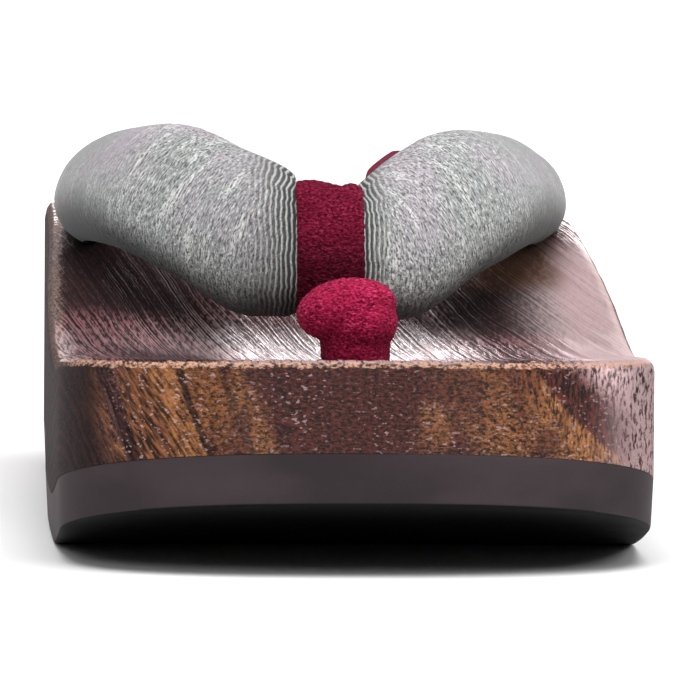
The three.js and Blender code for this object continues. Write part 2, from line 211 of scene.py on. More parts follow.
class GetaStage(PropertyGroup):
    """Studio and camera."""

    azimuth: degrees("Azimuth", "Camera's turn round the toe", -3.2)
    elevation: degrees("Elevation", "Camera's rise", 4.0)
    roll: degrees("Roll", "Camera's lean", 0.4)
    distance: metres("Distance", "Camera to the toe's rim", 1.8)
    aim_side: metres("Aim side", "Middle of the picture across from the toe's rim", -0.00265)
    aim_up: metres("Aim up", "Middle of the picture above the toe's rim", 0.0013)
    lens: FloatProperty(name="Lens", description="Focal length in millimetres", default=631.0)
    floor_colour: colour("Floor", "Pale studio floor", (0.86, 0.86, 0.86))
    sky: FloatProperty(name="Sky", description="Brightness of the room", default=0.12)
    overhead: FloatProperty(
        name="Overhead", description="Strength of the wide light above", default=3.9
    )
    spread: degrees("Spread", "Width of the light above", 55)
    key: watts("Key", "Power of the front light", 6.5)
    side: watts("Side", "Power of the side light", 7.0)
    behind: watts("Behind", "Power of the wide light behind", 23.0)
    behind_tint: colour("Behind tint", "Warm cast of the light behind", (1.0, 0.88, 0.9))


# Shapes


def column(rows, key, name, at):
    """Smooth value of one column of a table at a place between its rows."""
    keys = [getattr(row, key) for row in rows]
    values = [getattr(row, name) for row in rows]
    last = len(rows) - 1
    i = 0
    while i < last - 1 and at > keys[i + 1]:
        i += 1

    def slope(k):
        low = max(k - 1, 0)
        high = min(k + 1, last)
        return (values[high] - values[low]) / (keys[high] - keys[low])

    step = keys[i + 1] - keys[i]
    t = (at - keys[i]) / step
    start = values[i] * (2 * t**3 - 3 * t**2 + 1)
    end = values[i + 1] * (3 * t**2 - 2 * t**3)
    leaving = slope(i) * step * (t**3 - 2 * t**2 + t)
    arriving = slope(i + 1) * step * (t**3 - t**2)
    return start + end + leaving + arriving


def smoothstep(value, low, high):
    """0 below low, 1 above high and smooth between."""
    t = min(max((value - low) / (high - low), 0.0), 1.0)
    return t * t * (3 - 2 * t)


def hump(value, low, rise, fall, high):
    """0 outside low and high, 1 between rise and fall and smooth between."""
    return smoothstep(value, low, rise) * (1 - smoothstep(value, fall, high))


def blend(a, b, share):
    """A value between two."""
    return a + (b - a) * share


def signed_power(value, exponent):
    """A power that keeps the sign."""
    return math.copysign(abs(value) ** exponent, value)


# Smooth noise of two distances: its waves per metre of each, a seed and its size.
Wave = namedtuple("Wave", "first second seed size")


def ripple(wave, first, second):
    """Value of a wave at two distances."""
    return wave.size * noise.noise(Vector((first * wave.first, second * wave.second, wave.seed)))


def way_out(turn, rise):
    """A way that is turned round from the toe's and raised."""
    level = math.cos(rise)
    return Vector((math.sin(turn) * level, -math.cos(turn) * level, math.sin(rise)))


@lru_cache(maxsize=None)
def half_width(back):
    """Half the base's width, in metres, before its ends are rounded."""
    return column(PLAN, "back", "half", back / MM) * MM


@lru_cache(maxsize=None)
def bed_height(back):
    """Height of the foot bed's rim."""
    return column(BED, "back", "height", back / MM) * MM


def bed_at(sizes, side, back):
    """Height of the foot bed, a little hollow across."""
    across = min(1.0, abs(side) / half_width(back))
    along = min(max(back / sizes.length, 0.0), 1.0)
    dish = sizes.seat_dish * math.sin(math.pi * along) ** 0.5
    return bed_height(back) - dish * (1 - across**2)


# Curves of the toe spring and the arch, where the front edge opens into the shoulders, and the share
# of the half width at which the plan's corners lie.
TOE_SPRING_CURVE = 1.25
ARCH_CURVE = 0.8
EDGE_OPENS = (0.016, 0.06)
CORNER = 0.84


def tread_height(sizes, back):
    """Height of the sole's tread: the toe spring, then flat on the floor."""
    rise = max(0.0, 1 - back / sizes.toe_spring_length)
    return sizes.toe_spring * rise**TOE_SPRING_CURVE


def wood_underside(sizes, back):
    """Height of the wood's underside, arched between the soles."""
    span = (back - sizes.front_sole_end) / (sizes.heel_sole_start - sizes.front_sole_end)
    arch = sizes.arch_rise * math.sin(math.pi * span) ** ARCH_CURVE if 0 < span < 1 else 0.0
    return sizes.rubber + tread_height(sizes, back) + arch


def edge_radius(sizes, back):
    """A crisp front edge that opens into rounded shoulders."""
    return blend(sizes.toe_edge, sizes.side_edge, smoothstep(back, *EDGE_OPENS))


def end_share(sizes, reach, rounding):
    """Share of the half width at a distance from a squarish end."""
    if reach >= rounding:
        return 1.0
    n = sizes.squareness
    return (1 - (1 - max(reach, 0.0) / rounding) ** n) ** (1 / n)


def end_curve(sizes, share, rounding):
    """Distance from a squarish end at a share of the half width."""
    n = sizes.squareness
    return rounding * (1 - (1 - share**n) ** (1 / n))


def plan_point(sizes, across, along, start, end, inset):
    """A point of the plan between two distances back, from shares across and along it."""
    toe = start <= 0
    heel = end >= sizes.length
    toe_corner = end_curve(sizes, CORNER, sizes.toe_round)
    heel_corner = end_curve(sizes, CORNER, sizes.heel_round)
    first = toe_corner if toe else start
    last = sizes.length - heel_corner if heel else end
    row = blend(first, last, along)
    half = half_width(row) * end_share(sizes, row, sizes.toe_round)
    half *= end_share(sizes, sizes.length - row, sizes.heel_round)
    back = row
    if toe:
        curve = end_curve(sizes, abs(across) * CORNER, sizes.toe_round)
        back += (1 - along) * (curve - toe_corner)
    if heel:
        curve = end_curve(sizes, abs(across) * CORNER, sizes.heel_round)
        back -= along * (curve - heel_corner)
    middle = (start + end) / 2
    side = across * half * (1 - inset / half_width(row))
    return side, middle + (back - middle) * (1 - 2 * inset / (end - start))


def only(items, kind):
    """The items of one kind."""
    return [item for item in items if isinstance(item, kind)]


def layered_block(columns, rows, layers):
    """A closed block of quads in shares: x and y from -1 to 1, z the layer downwards."""
    bm = bmesh.new()
    bmesh.ops.create_grid(bm, x_segments=columns, y_segments=rows, size=1)
    under = bmesh.ops.duplicate(bm, geom=bm.verts[:] + bm.edges[:] + bm.faces[:])["geom"]
    bmesh.ops.translate(bm, verts=only(under, bmesh.types.BMVert), vec=(0, 0, -layers))
    bmesh.ops.reverse_faces(bm, faces=only(under, bmesh.types.BMFace))
    ring = [edge for edge in bm.edges if edge.is_boundary and edge.verts[0].co.z > -0.5]
    for _ in range(layers):
        wall = bmesh.ops.extrude_edge_only(bm, edges=ring)["geom"]
        ring = [edge for edge in only(wall, bmesh.types.BMEdge) if edge.is_boundary]
        bmesh.ops.translate(bm, verts=only(wall, bmesh.types.BMVert), vec=(0, 0, -1))
    bmesh.ops.remove_doubles(bm, verts=bm.verts[:], dist=1e-5)
    bmesh.ops.recalc_face_normals(bm, faces=bm.faces[:])
    return bm


def tube_grid(around, along, place, floats=(), uv_rule=None, cap=True, weld=1e-7):
    """A tube from a rule that gives a point and its float values at shares round and along it."""
    bm = bmesh.new()
    uv = bm.loops.layers.uv.new("UVMap")
    for name in floats:
        bm.verts.layers.float.new(name)
    layers = [bm.verts.layers.float[name] for name in floats]
    bmesh.ops.create_grid(bm, x_segments=around, y_segments=along, size=0.5)
    for face in bm.faces:
        for loop in face.loops:
            shares = loop.vert.co.x + 0.5, loop.vert.co.y + 0.5
            loop[uv].uv = uv_rule(*shares) if uv_rule else shares
    for vert in bm.verts:
        vert.co, values = place(vert.co.x + 0.5, vert.co.y + 0.5)
        for layer, value in zip(layers, values):
            vert[layer] = value
    bmesh.ops.remove_doubles(bm, verts=bm.verts[:], dist=weld)
    if cap:
        rim = [edge for edge in bm.edges if edge.is_boundary]
        bmesh.ops.holes_fill(bm, edges=rim, sides=0)
    bmesh.ops.recalc_face_normals(bm, faces=bm.faces[:])
    return bm


# Strap

StrapRow = namedtuple("StrapRow", "at side back height face tilt width thick")
StrapFrame = namedtuple("StrapFrame", "middle way normal across width thick")

# Share of the strap's thickness behind the seam, and how full its section is at the edges, on the
# outer face and on the foot's side.
SEAM = 0.24
EDGE_FULLNESS = 0.85
FACE_FULLNESS = 0.9
FOOT_FULLNESS = 0.6

# How far inside the loop's edge the strap starts and ends to be pressed in.
LOOP_EDGE = (0.001, 0.0002)

# Step between stations that gives the strap's way, and the fine steps that measure one station.
WAY_STEP = 0.02
FINE_STEPS = 8


@lru_cache(maxsize=None)
def strap_rows(shift):
    """Rows over both arms, from the big toe's side through the loop at 0 to the other."""
    rows = []
    for at in range(-LAST_ROW, LAST_ROW + 1):
        row = ARM[abs(at)]
        hand = (at > 0) - (at < 0)
        side = hand * row.side + shift / MM * (1 - smoothstep(abs(at), *SHIFT_FADES))
        height = row.height + (row.inner if hand < 0 else row.outer)
        face = hand * row.face
        rows.append(StrapRow(at, side, row.back, height, face, row.tilt, row.width, row.thick))
    return rows


@lru_cache(maxsize=None)
def strap_frame(shift, base_length, at):
    """Place of the strap at one station, in metres."""
    rows = strap_rows(shift)

    def value(name, where):
        return column(rows, "at", name, where)

    def middle(where):
        side, back, height = (value(name, where) * MM for name in ("side", "back", "height"))
        return Vector((side, back - base_length / 2, height))

    ahead, behind = min(at + WAY_STEP, LAST_ROW), max(at - WAY_STEP, -LAST_ROW)
    way = (middle(ahead) - middle(behind)).normalized()
    face = math.radians(value("face", at))
    tilt = math.radians(value("tilt", at))
    normal = way_out(face, tilt)
    normal = (normal - way * normal.dot(way)).normalized()
    width, thick = value("width", at) * MM, value("thick", at) * MM
    return StrapFrame(middle(at), way, normal, normal.cross(way), width, thick)


@lru_cache(maxsize=None)
def strap_stations(shift, base_length, end, count):
    """Stations along the strap, closest next to the loop, with their distances from it."""

    def face(at):
        place = strap_frame(shift, base_length, at)
        return place.middle + place.normal * place.thick / 2

    steps = FINE_STEPS * count
    fine = [blend(-end, end, i / steps) for i in range(steps + 1)]
    reach = [0.0]
    for a, b in zip(fine, fine[1:]):
        reach.append(reach[-1] + (face(b) - face(a)).length)
    middle = reach[steps // 2]
    stations = []
    k = 0
    for i in range(count + 1):
        t = blend(-1, 1, i / count)
        wanted = reach[-1] * (0.5 + 0.25 * (t + t**3))
        while k < len(fine) - 2 and reach[k + 1] < wanted:
            k += 1
        share = (wanted - reach[k]) / (reach[k + 1] - reach[k])
        stations.append((blend(fine[k], fine[k + 1], share), wanted - middle))
    return stations


def section_point(place, turn, depth, level, fullness, grow):
    """A point of an oval section and the way out of it there."""
    across = (place.width / 2 + grow) * signed_power(math.cos(turn), EDGE_FULLNESS)
    out = (depth + grow) * signed_power(math.sin(turn), fullness)
    point = place.middle + place.across * across + place.normal * (level + out)
    slope = place.across * (across / (place.width / 2) ** 2) + place.normal * (out / depth**2)
    return point, slope.normalized()


def outer_section(place, turn, grow):
    """A point of the strap's outer face and the way out of it there."""
    level = (SEAM - 0.5) * place.thick
    return section_point(place, turn, (1 - SEAM) * place.thick, level, FACE_FULLNESS, grow)


def ring_section(place, turn, grow):
    """A point round the strap's whole section, flatter on the foot's side."""
    if math.sin(turn) >= 0:
        return outer_section(place, turn, grow)
    level = (SEAM - 0.5) * place.thick
    return section_point(place, turn, SEAM * place.thick, level, FOOT_FULLNESS, grow)


def pressed_in(sizes, beside):
    """How far the loop presses the strap in at a distance from the loop's middle."""
    low, high = (sizes.loop_width / 2 - gap for gap in LOOP_EDGE)
    return sizes.loop_sink * (1 - smoothstep(beside, low, high))


# Materials

# Noises of the materials: features per metre across, along and up, detail and roughness.
Noise = namedtuple("Noise", "scale detail roughness")
NOISES = {
    "chips": Noise((900, 900, 900), 4, 0.7),
    "sway": Noise((60, 14, 60), 3, 0.5),
    "broken": Noise((2100, 90, 2100), 2, 0.5),
    "stain": Noise((30, 9, 30), 3, 0.5),
    "grit": Noise((1300, 1200, 2200), 3, 0.7),
    "hatch": Noise((2300, 300, 420), 2, 0.5),
    "columns": Noise((2300, 500, 800), 2, 0.6),
    "cloud": Noise((150, 40, 90), 4, 0.6),
    "spark": Noise((1250, 1500, 2200), 1, 0.5),
    "bloom": Noise((45, 45, 90), 4, 0.5),
    "speck": Noise((2600, 2600, 2600), 1, 0.5),
    "cast": Noise((60, 40, 1), 3, 0.5),
    "wave": Noise((1000, 2500, 1), 2, 0.6),
    "thread": Noise((2600, 3700, 1), 1, 0.5),
    "slub": Noise((75, 330, 1), 3, 0.6),
    "tuft": Noise((1900, 1900, 3300), 2, 0.65),
    "brushed": Noise((170, 170, 260), 2, 0.5),
    "twist": Noise((900, 900, 260), 3, 0.5),
}


class Shader:
    """Adds and joins the nodes of one material."""

    def __init__(self, name):
        self.material = bpy.data.materials.new(name)
        self.material.use_nodes = True
        self.tree = self.material.node_tree
        self.surface = self.tree.nodes["Principled BSDF"]
        self.place = self.node("ShaderNodeTexCoord").outputs["Object"]

    def feed(self, socket, value):
        """Joins a socket to a value or to another node's output."""
        if isinstance(value, bpy.types.NodeSocket):
            self.tree.links.new(value, socket)
        elif socket.type == "RGBA":
            socket.default_value = (*value[:3], 1.0)
        elif socket.type == "VECTOR":
            socket.default_value = tuple(value)
        else:
            socket.default_value = value

    def node(self, kind, inputs=None, **settings):
        made = self.tree.nodes.new(kind)
        for name, value in settings.items():
            setattr(made, name, value)
        for name, value in (inputs or {}).items():
            self.feed(made.inputs[name], value)
        return made

    def set(self, **values):
        """Sets the surface's own sockets, named with underscores for spaces."""
        for name, value in values.items():
            self.feed(self.surface.inputs[name.replace("_", " ")], value)

    def math(self, operation, *values):
        inputs = dict(enumerate(values))
        return self.node("ShaderNodeMath", inputs, operation=operation).outputs[0]

    def times(self, first, *others):
        for other in others:
            first = self.math("MULTIPLY", first, other)
        return first

    def plus(self, a, b):
        return self.math("ADD", a, b)

    def most(self, a, b):
        return self.math("MAXIMUM", a, b)

    def fused(self, value, factor, added):
        """A value times a factor and something added."""
        return self.math("MULTIPLY_ADD", value, factor, added)

    def between(self, share, a, b):
        return self.node("ShaderNodeMix", {0: share, 2: a, 3: b}).outputs[0]

    def mix(self, share, a, b):
        return self.node("ShaderNodeMix", {0: share, 6: a, 7: b}, data_type="RGBA").outputs[2]

    def ramp(self, value, low, high, first=0.0, last=1.0):
        inputs = {0: value, 1: low, 2: high, 3: first, 4: last}
        made = self.node("ShaderNodeMapRange", inputs, interpolation_type="SMOOTHSTEP")
        return made.outputs[0]

    def band(self, value, low, high, soft):
        """1 between two values and 0 outside them."""
        return self.times(self.ramp(value, low - soft, low), self.ramp(value, high + soft, high))

    def window(self, value, span):
        """A ramp for a pair of values, a band for a pair and its softness."""
        return self.band(value, *span) if len(span) == 3 else self.ramp(value, *span)

    def scale(self, tone, factor):
        inputs = {0: tone, "Scale": factor}
        return self.node("ShaderNodeVectorMath", inputs, operation="SCALE").outputs[0]

    def split(self, vector):
        return self.node("ShaderNodeSeparateXYZ", {0: vector}).outputs[:]

    def normal(self):
        return self.node("ShaderNodeNewGeometry").outputs["Normal"]

    def stretch(self, scale, turn=(0, 0, 0), source=None):
        inputs = {"Vector": source or self.place, "Scale": scale, "Rotation": turn}
        return self.node("ShaderNodeMapping", inputs).outputs[0]

    def noise(self, name, turn=(0, 0, 0), source=None):
        """One of the table's noises."""
        row = NOISES[name]
        place = self.stretch(row.scale, turn, source)
        inputs = {"Vector": place, "Scale": 1.0, "Detail": row.detail, "Roughness": row.roughness}
        return self.node("ShaderNodeTexNoise", inputs).outputs[0]

    def lines(self, value):
        """Uneven lines along one value."""
        inputs = {"W": value, "Scale": 1.0, "Detail": 1.0}
        return self.node("ShaderNodeTexNoise", inputs, noise_dimensions="1D").outputs[0]

    def attribute(self, name):
        return self.node("ShaderNodeAttribute", attribute_name=name).outputs["Fac"]

    def bump(self, height, distance, strength=1.0):
        inputs = {"Height": height, "Distance": distance, "Strength": strength}
        return self.node("ShaderNodeBump", inputs).outputs[0]


def shade_of(tone, factor):
    """A colour made darker or lighter."""
    return [factor * value for value in tone]


# Zones of the wood across and along the base, in metres: a pair is a ramp from its first value to
# its second, and three values are a band between the first two with soft edges.
Zone = namedtuple("Zone", "across along")
# Painted light: the shoulder, thong and corner zones carry painted reflections, the shade zones
# painted shade under the strap, and the front zones painted dark reflections of the strap; the other
# zones set gloss and golden grain.
ZONES = {
    "shoulder_reflection": Zone((0.024, 0.036), (0.04, 0.0)),
    "outer_edge": Zone((0.028, 0.039), (0.04, -0.01)),
    "inner_side": Zone((-0.013, -0.021), (0.03, 0.0)),
    "inner_shade": Zone((-0.014, -0.026), (-0.025, 0.03, 0.02)),
    "outer_shade": Zone((0.02, 0.031, 0.008), (-0.04, 0.03, 0.02)),
    "inner_front": Zone((-0.033, -0.022, 0.008), (-0.05, -0.075)),
    "outer_front": Zone((0.016, 0.025, 0.005), (-0.07, -0.095)),
    "warm": Zone((0.024, 0.033, 0.006), (-0.008, 0.022, 0.014)),
    "thong_reflection": Zone((-0.014, 0.012, 0.011), (-0.118, -0.05, 0.016)),
    "corner": Zone((0.0, 0.01), (-0.055, -0.108)),
}

# Rings of the end grain: where a streak starts and ends from the tree's heart, how soft its edges
# are and how strong it is.
Ring = namedtuple("Ring", "low high soft share")
GOLD_RINGS = [
    Ring(0.1034, 0.125, 0.001, 1.0),
    Ring(0.0965, 0.1015, 0.002, 0.45),
    Ring(0.0932, 0.0965, 0.0016, 0.9),
    Ring(0.0845, 0.0925, 0.003, 0.6),
    Ring(0.0478, 0.056, 0.004, 0.65),
    Ring(0.0445, 0.0478, 0.0008, 1.0),
]
DARK_RINGS = [
    Ring(0.1016, 0.1032, 0.0006, 0.85),
    Ring(0.0923, 0.0929, 0.0004, 0.8),
    Ring(0.0866, 0.0871, 0.0005, 0.5),
]

# Place of the tree's heart across and up, and how far the grain turns across per metre along.
PITH = (0.062, 0.055)
GRAIN_TURN = 0.09

# A golden knot on the end grain, across and up, and the lean of the hatching beside it.
KNOT_ACROSS = (0.009, 0.011, 0.003)
KNOT_UP = (0.022, 0.024, 0.005)
HATCH_LEAN = 0.6

# Line under which the front is darkened by painted shadow, and how steep it is.
SHADOW_SIDE = 0.024
SHADOW_SLOPE = 0.636


class Wood(Shader):
    """Scorched wood with raised grain under lacquer."""

    def __init__(self, sizes, finish):
        super().__init__("wood_lacquer")
        self.finish = finish
        self.x, self.y, self.z = self.split(self.place)
        facing, self.upward = self.split(self.normal())[1:]
        self.end = self.ramp(self.math("ABSOLUTE", facing), 0.45, 0.85)
        self.flank = self.times(self.ramp(self.upward, 0.8, 0.4), self.ramp(self.end, 1, 0))
        self.zones = {
            name: self.times(self.window(self.x, zone.across), self.window(self.y, zone.along))
            for name, zone in ZONES.items()
        }
        self.add_grain(sizes)
        self.add_strokes()
        base = self.mix(self.flank, self.bed_colour(), self.flank_colour())
        base = self.mix(self.end, base, self.end_colour())
        # Pale rim: partly wear, partly a painted highlight.
        base = self.mix(self.rim_wear_and_glint(sizes), base, finish.rim_wear_highlight)
        relief = self.relief()
        self.set(
            Base_Color=base,
            Roughness=self.gloss(),
            Normal=relief,
            Coat_Normal=relief,
            Coat_Weight=0.05,
            Coat_Roughness=0.1,
            Coat_IOR=1.5,
            Specular_IOR_Level=0.22,
        )

    def add_grain(self, sizes):
        """Growth rings round the tree's heart, fine lines along them, and the bed's shade."""
        zones = self.zones
        heart = self.fused(self.y, GRAIN_TURN, GRAIN_TURN * sizes.length / 2 - PITH[0])
        rise = self.math("SUBTRACT", self.z, PITH[1])
        rings = self.node("ShaderNodeCombineXYZ", {0: self.plus(self.x, heart), 1: rise})
        distance = self.node("ShaderNodeVectorMath", {0: rings.outputs[0]}, operation="LENGTH")
        self.straight = distance.outputs["Value"]
        self.sway = self.math("SUBTRACT", self.noise("sway"), 0.5)
        reach = self.fused(self.sway, 0.004, self.straight)
        fine = self.lines(self.math("DIVIDE", reach, sizes.grain_pitch))
        self.broken = self.noise("broken", turn=(0, 0, -GRAIN_TURN))
        lines = self.plus(self.times(fine, 0.55), self.times(self.broken, 0.45))
        # Grain lines smoothed where the shoulder's painted reflection lies.
        self.grain = self.between(self.times(zones["shoulder_reflection"], 0.85), lines, 0.55)
        self.stain = self.noise("stain")
        # Painted shade under the strap, and painted dark reflections at the front.
        under_strap = self.most(zones["inner_shade"], zones["outer_shade"])
        front = self.most(zones["inner_front"], zones["outer_front"])
        self.shaded = self.most(under_strap, self.times(front, 0.7))

    def add_strokes(self):
        """Strokes of the end grain: leaning on the big toe's side, upright on the other."""
        self.grit = self.noise("grit")
        self.columns = self.noise("columns")
        leaning = self.stretch((1, 1, 1), turn=(0, HATCH_LEAN, 0))
        hatch = self.noise("hatch", source=leaning)
        left = self.ramp(self.straight, 0.086, 0.102)
        right = self.ramp(self.straight, 0.05, 0.044)
        self.strokes = self.between(right, self.between(left, self.grit, hatch), self.columns)

    def bed_colour(self):
        """Dark troughs and red ridges, dimmed by painted shade under the strap and at the front,
        with painted pale reflections beside the thong and on the shoulder.
        """
        finish, zones, lines = self.finish, self.zones, self.grain
        # Ridges dimmed by painted shade in the shaded zones.
        ridge = self.times(
            self.ramp(lines, 0.43, 0.57),
            self.ramp(self.stain, 0.3, 0.6, 0.45, 1),
            self.ramp(self.shaded, 0, 1, 1, 0.1),
        )
        tone = self.mix(ridge, finish.wood_dark, finish.wood_red)
        # Painted reflection on the shoulder.
        pale = self.times(zones["shoulder_reflection"], self.ramp(lines, 0.45, 0.58, 0.18, 0.55))
        tone = self.mix(pale, tone, finish.shoulder_reflection)
        warm = self.times(zones["warm"], self.ramp(self.broken, 0.3, 0.6, 0.45, 0.95))
        tone = self.mix(warm, tone, shade_of(finish.wood_gold, 0.6))
        # Painted reflection on the ridges beside the thong.
        thong_reflection = self.times(zones["thong_reflection"], self.ramp(lines, 0.36, 0.48, 0, 0.9))
        return self.mix(thong_reflection, tone, finish.bed_reflection)

    def end_colour(self):
        """Scorched end grain with golden and dark rings, a painted reflection on the outer corner,
        painted glints, and painted shadow low on the big toe's side.
        """
        finish = self.finish
        cloud = self.noise("cloud")
        ring = self.fused(self.sway, 0.0012, self.straight)
        gold = self.times(self.band(self.x, *KNOT_ACROSS), self.band(self.z, *KNOT_UP), 0.55)
        for row in GOLD_RINGS:
            streak = self.times(self.band(ring, row.low, row.high, row.soft), row.share)
            gold = self.most(gold, streak)
        gold = self.times(gold, self.ramp(cloud, 0.4, 0.58, 0.25, 1))
        tone = self.mix(gold, finish.end_brown, finish.wood_gold)
        # Painted reflection on the outer corner.
        pale = self.times(
            self.ramp(self.straight, 0.0405, 0.033),
            self.ramp(self.columns, 0.36, 0.52, 0.4, 1),
            self.ramp(self.y, 0, -0.06),
        )
        tone = self.mix(pale, tone, finish.end_reflection_pink)
        for row in DARK_RINGS:
            streak = self.times(self.band(ring, row.low, row.high, row.soft), row.share)
            tone = self.mix(streak, tone, finish.wood_dark)
        tone = self.scale(tone, self.ramp(self.strokes, 0.36, 0.66, 0.2, 2.2))
        # Painted glints.
        spark = self.ramp(self.noise("spark"), 0.61, 0.7)
        spark = self.times(spark, self.ramp(cloud, 0.4, 0.65, 0.1, 0.55))
        tone = self.mix(spark, tone, finish.end_reflection_pink)
        # Painted shadow low on the big toe's side of the front.
        shadow_line = self.fused(self.z, SHADOW_SLOPE, self.plus(self.x, SHADOW_SIDE))
        return self.scale(tone, self.ramp(shadow_line, 0.001, -0.004, 1, 0.2))

    def flank_colour(self):
        """Dark lines along the sides, with a painted reflection on the front's outer corner."""
        finish = self.finish
        line = self.ramp(self.grain, 0.42, 0.62, 0, 0.6)
        tone = self.mix(line, finish.wood_dark, finish.end_brown)
        tone = self.mix(self.ramp(self.stain, 0.5, 0.7, 0, 0.35), tone, finish.wood_gold)
        # Painted reflection on the front's outer corner.
        corner = self.ramp(self.zones["corner"], 0, 1, 0, 0.95)
        corner_reflection = self.times(self.ramp(self.columns, 0.36, 0.52), corner)
        return self.mix(corner_reflection, tone, finish.end_reflection_pink)

    def rim_wear_and_glint(self, sizes):
        """Ragged pale edge between the foot bed and the front, partly wear and partly a painted
        highlight.
        """
        toe = -sizes.length / 2
        front = self.ramp(self.y, toe + 0.03, toe + 0.012)
        ragged = self.fused(self.noise("chips"), 0.5, self.math("SUBTRACT", self.upward, 0.25))
        return self.times(
            self.band(ragged, 0.35, 0.82, 0.1),
            self.ramp(front, 0, 1, 0.25, 1),
            self.ramp(self.grit, 0.42, 0.58, 0.05, 1),
        )

    def relief(self):
        height = self.between(self.end, self.grain, self.strokes)
        height = self.between(self.flank, height, self.grit)
        on_end = self.ramp(self.end, 0, 1, 0.0003, 0.0006)
        on_flank = self.ramp(self.flank, 0, 1, 0, 0.001)
        return self.bump(height, self.plus(on_end, on_flank))

    def gloss(self):
        """Roughness: glossy ridges, glossier beside the thong, dull in the shade and at the end."""
        zones = self.zones
        shown = self.fused(self.shaded, -0.1, self.grain)
        gloss = self.fused(zones["inner_side"], 0.22, self.ramp(shown, 0.4, 0.54, 0.75, 0.24))
        gloss = self.fused(self.shaded, 0.2, gloss)
        gloss = self.times(gloss, self.ramp(zones["thong_reflection"], 0, 1, 1, 0.5))
        gloss = self.most(gloss, self.times(zones["outer_edge"], 0.6))
        on_end = self.ramp(self.end, 0.2, 0.8, 0, 0.6)
        on_flank = self.ramp(self.flank, 0.1, 0.7)
        return self.most(gloss, self.most(on_end, on_flank))


def rubber_material(finish):
    """Matt rubber with a faint bloom, and painted shade that makes the downward-facing tread black.
    """
    shader = Shader("rubber_matt")
    upward = shader.split(shader.normal())[2]
    bloom = shader.noise("bloom")
    wall = shader.scale(finish.rubber, shader.ramp(bloom, 0.3, 0.7, 0.75, 1.3))
    # Painted shade: faces that point downwards are made almost black.
    tread = shader.ramp(upward, -0.35, -0.6)
    shader.set(
        Base_Color=shader.mix(tread, wall, shade_of(finish.rubber, 0.03)),
        Roughness=shader.ramp(bloom, 0.3, 0.7, 0.62, 0.78),
        Normal=shader.bump(shader.noise("speck"), 0.00008, 0.6),
        Specular_IOR_Level=0.12,
    )
    return shader.material


def crepe_material(finish, girth):
    """Ribbed grey crepe with slubs across the strap, painted shade in its grooves, dips, lower edge
    and ends, painted highlights on its ridges and tips, and a painted tint of the light from behind
    along the crown.
    """
    shader = Shader("crepe_ribbed")
    rib, near, calm, shade = (shader.attribute(name) for name in COVER_VALUES)
    uv = shader.node("ShaderNodeUVMap", uv_map="UVMap").outputs[0]
    down = shader.split(uv)[0]
    # Painted tint of the warm light from behind, along the crown.
    cast = shader.ramp(shader.noise("cast", source=uv), 0.35, 0.6)
    cast = shader.times(cast, shader.ramp(down, 0.75 * girth, 0.35 * girth))
    cloth = shader.mix(cast, finish.crepe, finish.crepe_lit_tint)
    wave = shader.times(shader.noise("wave", source=uv), 0.65)
    crinkle = shader.fused(shader.noise("thread", source=uv), 0.35, wave)
    rough = shader.ramp(calm, 0.0, 1.0, 1.0, 0.3)
    # Painted shade in the crinkles' dips and painted highlights on their tips.
    dips = shader.times(shader.ramp(crinkle, 0.49, 0.41, 0.0, 0.72), rough)
    tips = shader.times(shader.ramp(crinkle, 0.52, 0.61, 0.0, 0.72), rough)
    cloth = shader.mix(dips, cloth, finish.crepe_groove_shade)
    cloth = shader.mix(tips, cloth, finish.crepe_flecks_and_highlights)
    fleck = shader.times(
        shader.ramp(shader.noise("slub", source=uv), 0.53, 0.62),
        shader.ramp(crinkle, 0.42, 0.56),
        shader.ramp(calm, 0.0, 1.0, 0.75, 0.3),
    )
    cloth = shader.mix(fleck, cloth, finish.crepe_flecks_and_highlights)
    # Painted shade in the ribs' grooves and painted highlights on their ridges.
    ridge = shade_of(finish.crepe_flecks_and_highlights, 0.68)
    striped = shader.mix(shader.ramp(rib, 0.12, 0.85), finish.crepe_groove_shade, ridge)
    shader.set(
        # Painted shade under the strap and towards the holes.
        Base_Color=shader.scale(shader.mix(near, cloth, striped), shade),
        Roughness=0.85,
        Normal=shader.bump(crinkle, 0.0005, shader.times(rough, 0.9)),
        Sheen_Weight=0.12,
        Sheen_Roughness=0.5,
        Specular_IOR_Level=0.25,
    )
    return shader.material


def velvet_material(name, dark, middle, light):
    """Short pile with bright ends and dark roots, with painted shade on the loop's lower half,
    behind the rolls' front, under the strap and near the bed, and painted light on the rolls' front.
    """
    shader = Shader(name)
    y, z = shader.split(shader.place)[1:]
    tuft = shader.noise("tuft")
    base = shader.mix(shader.ramp(tuft, 0.32, 0.54), dark, middle)
    brushed = shader.ramp(shader.noise("brushed"), 0.35, 0.65, 0.35, 1.0)
    base = shader.mix(shader.times(shader.ramp(tuft, 0.5, 0.7), brushed), base, light)
    # Painted shade on the loop's lower half.
    low = shader.times(shader.ramp(z, 0.0505, 0.0415), shader.ramp(y, -0.0755, -0.0725))
    base = shader.scale(base, shader.ramp(low, 0.0, 1.0, 1.0, 0.5))
    # Painted light on the rolls' front and painted shade behind it.
    base = shader.scale(base, shader.ramp(y, -0.0725, -0.0745, 0.53, 1.28))
    # Painted shade near the bed.
    base = shader.scale(base, shader.ramp(z, 0.0348, 0.0322, 1.0, 0.7))
    shader.set(
        Base_Color=base,
        Roughness=0.95,
        Normal=shader.bump(tuft, 0.0005, 0.9),
        Sheen_Weight=0.1,
        Sheen_Roughness=0.4,
        Sheen_Tint=(0.9, 0.25, 0.4),
        Specular_IOR_Level=0.08,
    )
    return shader.material


